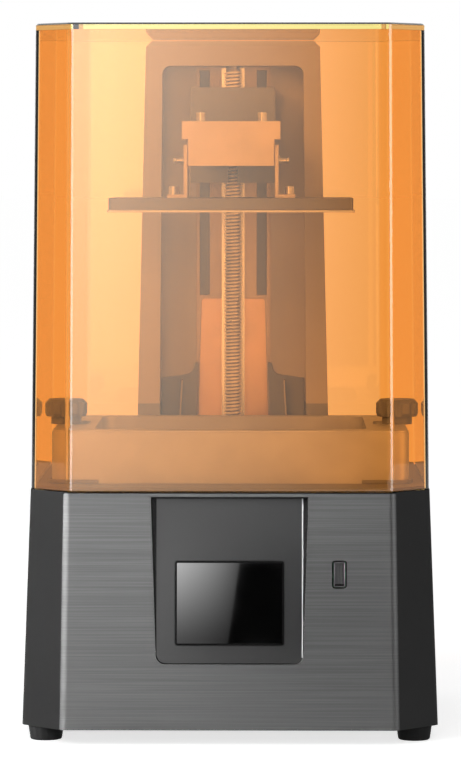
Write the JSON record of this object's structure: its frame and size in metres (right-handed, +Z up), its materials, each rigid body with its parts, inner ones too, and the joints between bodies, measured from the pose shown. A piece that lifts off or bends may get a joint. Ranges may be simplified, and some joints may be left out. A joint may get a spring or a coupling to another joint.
{
  "type": "resin printer",
  "caption": "Desktop resin printer: octagonal base with touch console, metal vat, screw-driven build platform and a tinted lift-off cover.",
  "frame": {"origin": "middle of the plane the four rubber feet rest on", "axes": "+Z up; -Y out of the front, where the touch console is; +X to the right as seen from the front"},
  "size_m": [0.2268, 0.2268, 0.389],
  "materials": {
    "dark_housing": "smooth dark grey",
    "brushed_sheet": "dark brushed, grain across",
    "console_face": "satin grey",
    "touch_glass": "black gloss",
    "steel": "plain",
    "polished_steel": "ground and polished",
    "black_plastic": "fine texture",
    "gloss_black": "gloss",
    "circuit_board": "green lacquer",
    "screen_glass": "dark glass",
    "light_board": "white",
    "bright_aluminium": "satin",
    "dark_aluminium": "dark anodised",
    "vat_aluminium": "bead blasted and anodised",
    "brass": "turned",
    "release_film": "clear film",
    "foot_rubber": "matt",
    "tinted_cover": "clear amber"
  },
  "bodies": {
    "printer_base": {"base_shell": "dark_housing", "base_plate": "dark_housing", "rubber_feet": "foot_rubber", "base_screws": "steel", "front_panel": "brushed_sheet", "console_bezel": "console_face", "touch_glass": "touch_glass", "display_module": "steel", "usb_shell": "steel", "usb_tongue": "black_plastic", "usb_board": "circuit_board", "deck_plate": "dark_housing", "mask_lcd": "screen_glass", "light_hood": "black_plastic", "led_board": "light_board", "heat_sink": "bright_aluminium", "led_fan_frame": "black_plastic", "mainboard": "circuit_board", "fan_frame": "black_plastic", "fan_guard": "black_plastic", "rear_screws": "steel", "rocker_bezel": "black_plastic", "power_jack": "black_plastic", "vat_locators": "black_plastic", "column_cover": "dark_housing", "column_spine": "dark_aluminium", "stand_plate": "bright_aluminium", "foot_bracket_left": "dark_aluminium", "foot_bracket_right": "dark_aluminium", "limit_sensor": "black_plastic", "linear_rail": "polished_steel", "rail_screws": "steel", "top_bearing": "dark_aluminium", "z_motor": "dark_housing"},
    "cover": {"cover_walls": "tinted_cover", "cover_top_plate": "tinted_cover"},
    "vat": {"vat_body": "vat_aluminium", "release_film": "release_film", "film_frame": "bright_aluminium", "film_screws": "steel"},
    "left_knob": {"knob_left": "gloss_black"},
    "right_knob": {"knob_right": "gloss_black"},
    "platform": {"rail_slider": "polished_steel", "carriage": "dark_aluminium", "screw_nut": "brass", "z_arm": "dark_aluminium", "limit_flag": "steel", "plate_holder": "bright_aluminium", "holder_bolts": "steel"},
    "plate": {"bracket_left": "steel", "bracket_right": "steel", "plate_screws": "steel", "build_plate": "bright_aluminium"},
    "screw": {"motor_shaft": "polished_steel", "screw_coupler": "bright_aluminium", "lead_screw": "polished_steel"},
    "rear_fan": {"fan_rotor": "black_plastic"},
    "light_fan": {"led_fan_rotor": "black_plastic"},
    "rocker": {"power_rocker": "gloss_black"}
  },
  "joints": [
    {"name": "cover_lift", "type": "slide", "parent": "printer_base", "child": "cover", "axis": [0, 0, 1], "range_m": [0, 0.26]},
    {"name": "vat_lift", "type": "slide", "parent": "printer_base", "child": "vat", "axis": [0, 0, 1], "range_m": [0, 0.04]},
    {"name": "left_knob_turn", "type": "hinge", "parent": "vat", "child": "left_knob", "pos_m": [-0.0928, -0.006, 0.17], "axis": [0, 0, 1], "range_deg": [0, 1080]},
    {"name": "right_knob_turn", "type": "hinge", "parent": "vat", "child": "right_knob", "pos_m": [0.0928, -0.006, 0.17], "axis": [0, 0, 1], "range_deg": [0, 1080]},
    {"name": "platform_travel", "type": "slide", "parent": "printer_base", "child": "platform", "axis": [0, 0, 1], "range_m": [-0.1455, 0.012]},
    {"name": "plate_level", "type": "slide", "parent": "platform", "child": "plate", "axis": [0, 0, 1], "range_m": [0, 0.002]},
    {"name": "lead_screw_turn", "type": "hinge", "parent": "printer_base", "child": "screw", "pos_m": [0, 0.073, 0.2], "axis": [0, 0, 1], "range_deg": [-26200, 2165]},
    {"name": "rear_fan_spin", "type": "hinge", "parent": "printer_base", "child": "rear_fan", "pos_m": [0.052, 0.09952, 0.07153], "axis": [0, 0.9993, 0.0373], "continuous": true},
    {"name": "light_fan_spin", "type": "hinge", "parent": "printer_base", "child": "light_fan", "pos_m": [0, -0.006, 0.0225], "axis": [0, 0, 1], "continuous": true},
    {"name": "power_rock", "type": "hinge", "parent": "printer_base", "child": "rocker", "pos_m": [-0.06, 0.10597, 0.09979], "axis": [1, 0, 0], "range_deg": [0, 14]}
  ],
  "couplings": [
    {"joint": "lead_screw_turn", "follows": "platform_travel", "rad_per_m": 3141.6}
  ]
}
